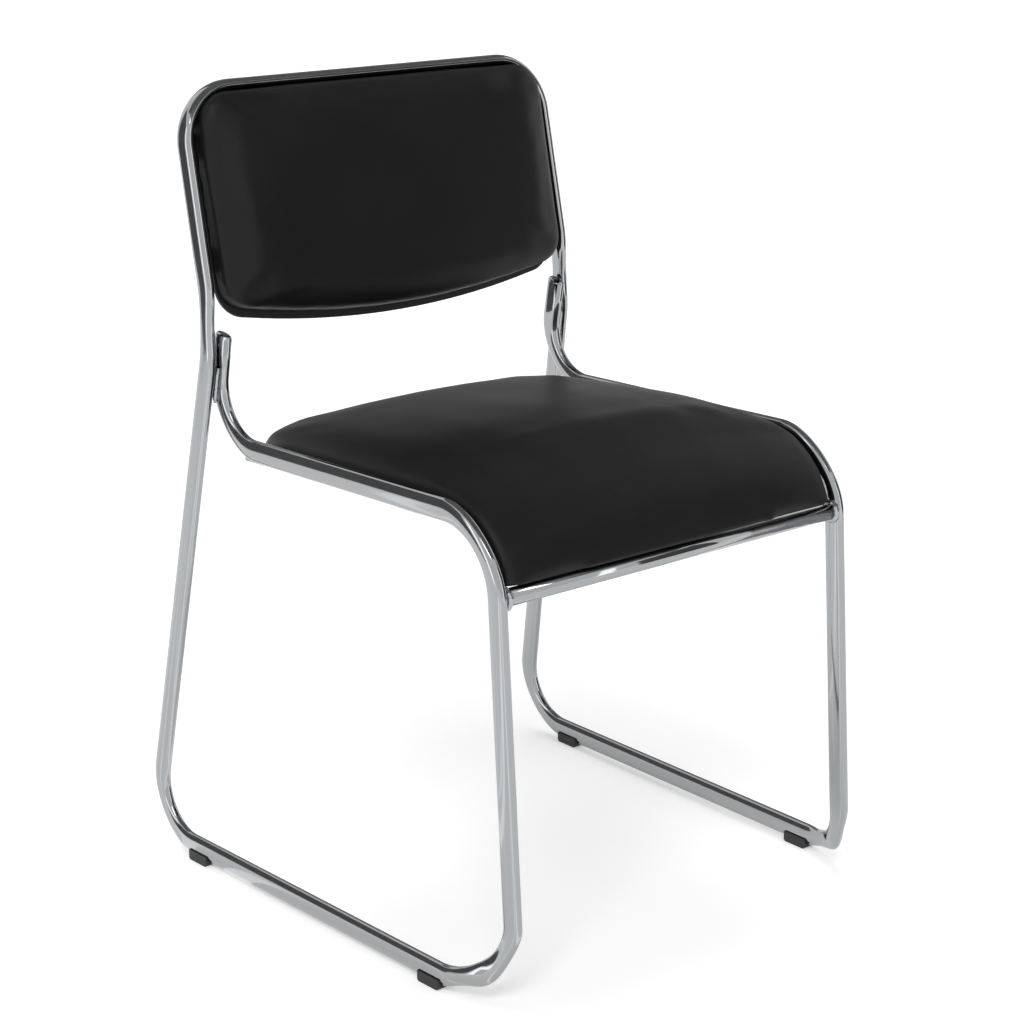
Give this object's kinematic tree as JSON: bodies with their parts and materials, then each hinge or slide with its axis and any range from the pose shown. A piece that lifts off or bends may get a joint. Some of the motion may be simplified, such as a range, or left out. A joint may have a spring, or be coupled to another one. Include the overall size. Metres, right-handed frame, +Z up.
{
  "type": "sled base visitor chair",
  "caption": "Stacking visitor chair: a bent oval chromed tube forms runners, legs and back hoop round a black padded seat and back.",
  "frame": {"origin": "on the floor under the middle of the chair's bounding box", "axes": "+Z up, the sitter faces -Y; left in the names is -X, as seen from the front"},
  "size_m": [0.51, 0.5266, 0.7705],
  "materials": {
    "chrome": "polished",
    "weld": "plated over a rough bead",
    "plain steel": "zinc plated, satin",
    "black plastic": "satin",
    "black leather": "fine grained artificial leather, semi matt",
    "foam": "open cell foam",
    "plywood": "raw moulded plywood",
    "lining": "thin non-woven sheet"
  },
  "bodies": {
    "root": {"frame_tube": "chrome", "front_crossbar": "chrome", "crossbar_welds": "weld", "upright_welds": "weld", "front_seat_strap": "plain steel", "rear_seat_strap": "plain steel", "back_tabs": "plain steel", "seat_nuts": "plain steel", "seat_washers": "plain steel", "seat_screws": "plain steel", "back_nuts": "plain steel", "back_screws": "plain steel", "end_plugs": "black plastic", "front_left_glide": "black plastic", "rear_left_glide": "black plastic", "front_right_glide": "black plastic", "rear_right_glide": "black plastic", "back_rear_shell": "black plastic", "seat_cover": "black leather", "back_cover": "black leather", "seat_foam": "foam", "back_foam": "foam", "seat_board": "plywood", "back_board": "plywood", "seat_underside_cover": "lining"}
  },
  "joints": []
}
